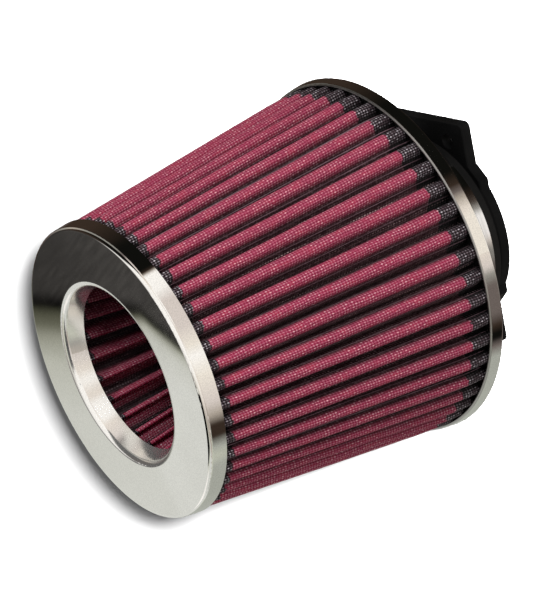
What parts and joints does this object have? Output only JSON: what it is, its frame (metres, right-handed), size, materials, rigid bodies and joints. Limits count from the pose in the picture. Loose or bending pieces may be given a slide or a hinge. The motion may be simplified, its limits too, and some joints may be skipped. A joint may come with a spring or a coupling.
{
  "type": "cone air filter",
  "caption": "Twin-cone pleated gauze air filter with bright end rings, a black urethane base and neck, a worm-drive clamp and a bolted adapter flange.",
  "frame": {"origin": "centre of the adapter flange's mounting face", "axes": "+Z along the filter's axis towards its nose, +Y along the flange's long side"},
  "size_m": [0.1528, 0.1528, 0.168],
  "materials": {
    "bright_cap": "polished bright plating",
    "gauze": "oiled cotton gauze under a fine wire screen",
    "urethane": "moulded satin black",
    "clamp_steel": "bright stainless strip",
    "flange_black": "satin black coated casting"
  },
  "bodies": {
    "root": {"nose_cap": "bright_cap", "nose_potting": "urethane", "outer_pleats": "gauze", "inner_pleats": "gauze", "inner_end_cap": "urethane", "base_moulding": "urethane", "base_band": "bright_cap", "clamp_band": "clamp_steel", "clamp_housing": "clamp_steel", "clamp_screw": "clamp_steel", "adapter_flange": "flange_black"}
  },
  "joints": []
}
